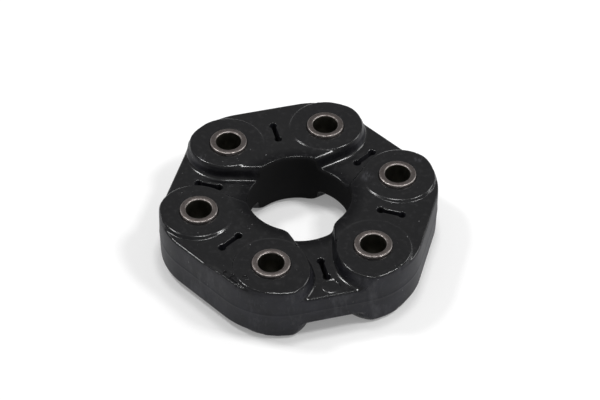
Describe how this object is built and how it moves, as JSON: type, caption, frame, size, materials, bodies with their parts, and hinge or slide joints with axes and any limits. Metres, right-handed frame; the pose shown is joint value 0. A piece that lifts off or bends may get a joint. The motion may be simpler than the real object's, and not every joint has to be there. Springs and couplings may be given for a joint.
{
  "type": "driveshaft flex disc",
  "caption": "Moulded rubber coupling disc with steel bolt sleeves in a circle, raised and recessed sides in turn, relief slots and a round hub hole, for joining two shaft flanges.",
  "frame": {"origin": "on the shaft axis, at the middle of the disc's thickness", "axes": "+Z along the shaft axis, +X through the middle of one raised side of the disc"},
  "size_m": [0.1248, 0.1332, 0.0306],
  "materials": {
    "rubber": "satin, moulded",
    "sleeve_steel": "turned, lightly tarnished",
    "collar_steel": "pressed, plain",
    "cord": "wound polyester cord"
  },
  "bodies": {
    "root": {"rubber_body": "rubber", "steel_sleeve_1": "sleeve_steel", "steel_sleeve_2": "sleeve_steel", "steel_sleeve_3": "sleeve_steel", "steel_sleeve_4": "sleeve_steel", "steel_sleeve_5": "sleeve_steel", "steel_sleeve_6": "sleeve_steel", "guide_collar_upper_1": "collar_steel", "guide_collar_upper_2": "collar_steel", "guide_collar_upper_3": "collar_steel", "guide_collar_upper_4": "collar_steel", "guide_collar_upper_5": "collar_steel", "guide_collar_upper_6": "collar_steel", "guide_collar_lower_1": "collar_steel", "guide_collar_lower_2": "collar_steel", "guide_collar_lower_3": "collar_steel", "guide_collar_lower_4": "collar_steel", "guide_collar_lower_5": "collar_steel", "guide_collar_lower_6": "collar_steel", "cord_loop_upper_1": "cord", "cord_loop_upper_2": "cord", "cord_loop_upper_3": "cord", "cord_loop_middle_1": "cord", "cord_loop_middle_2": "cord", "cord_loop_middle_3": "cord", "cord_loop_lower_1": "cord", "cord_loop_lower_2": "cord", "cord_loop_lower_3": "cord"}
  },
  "joints": []
}
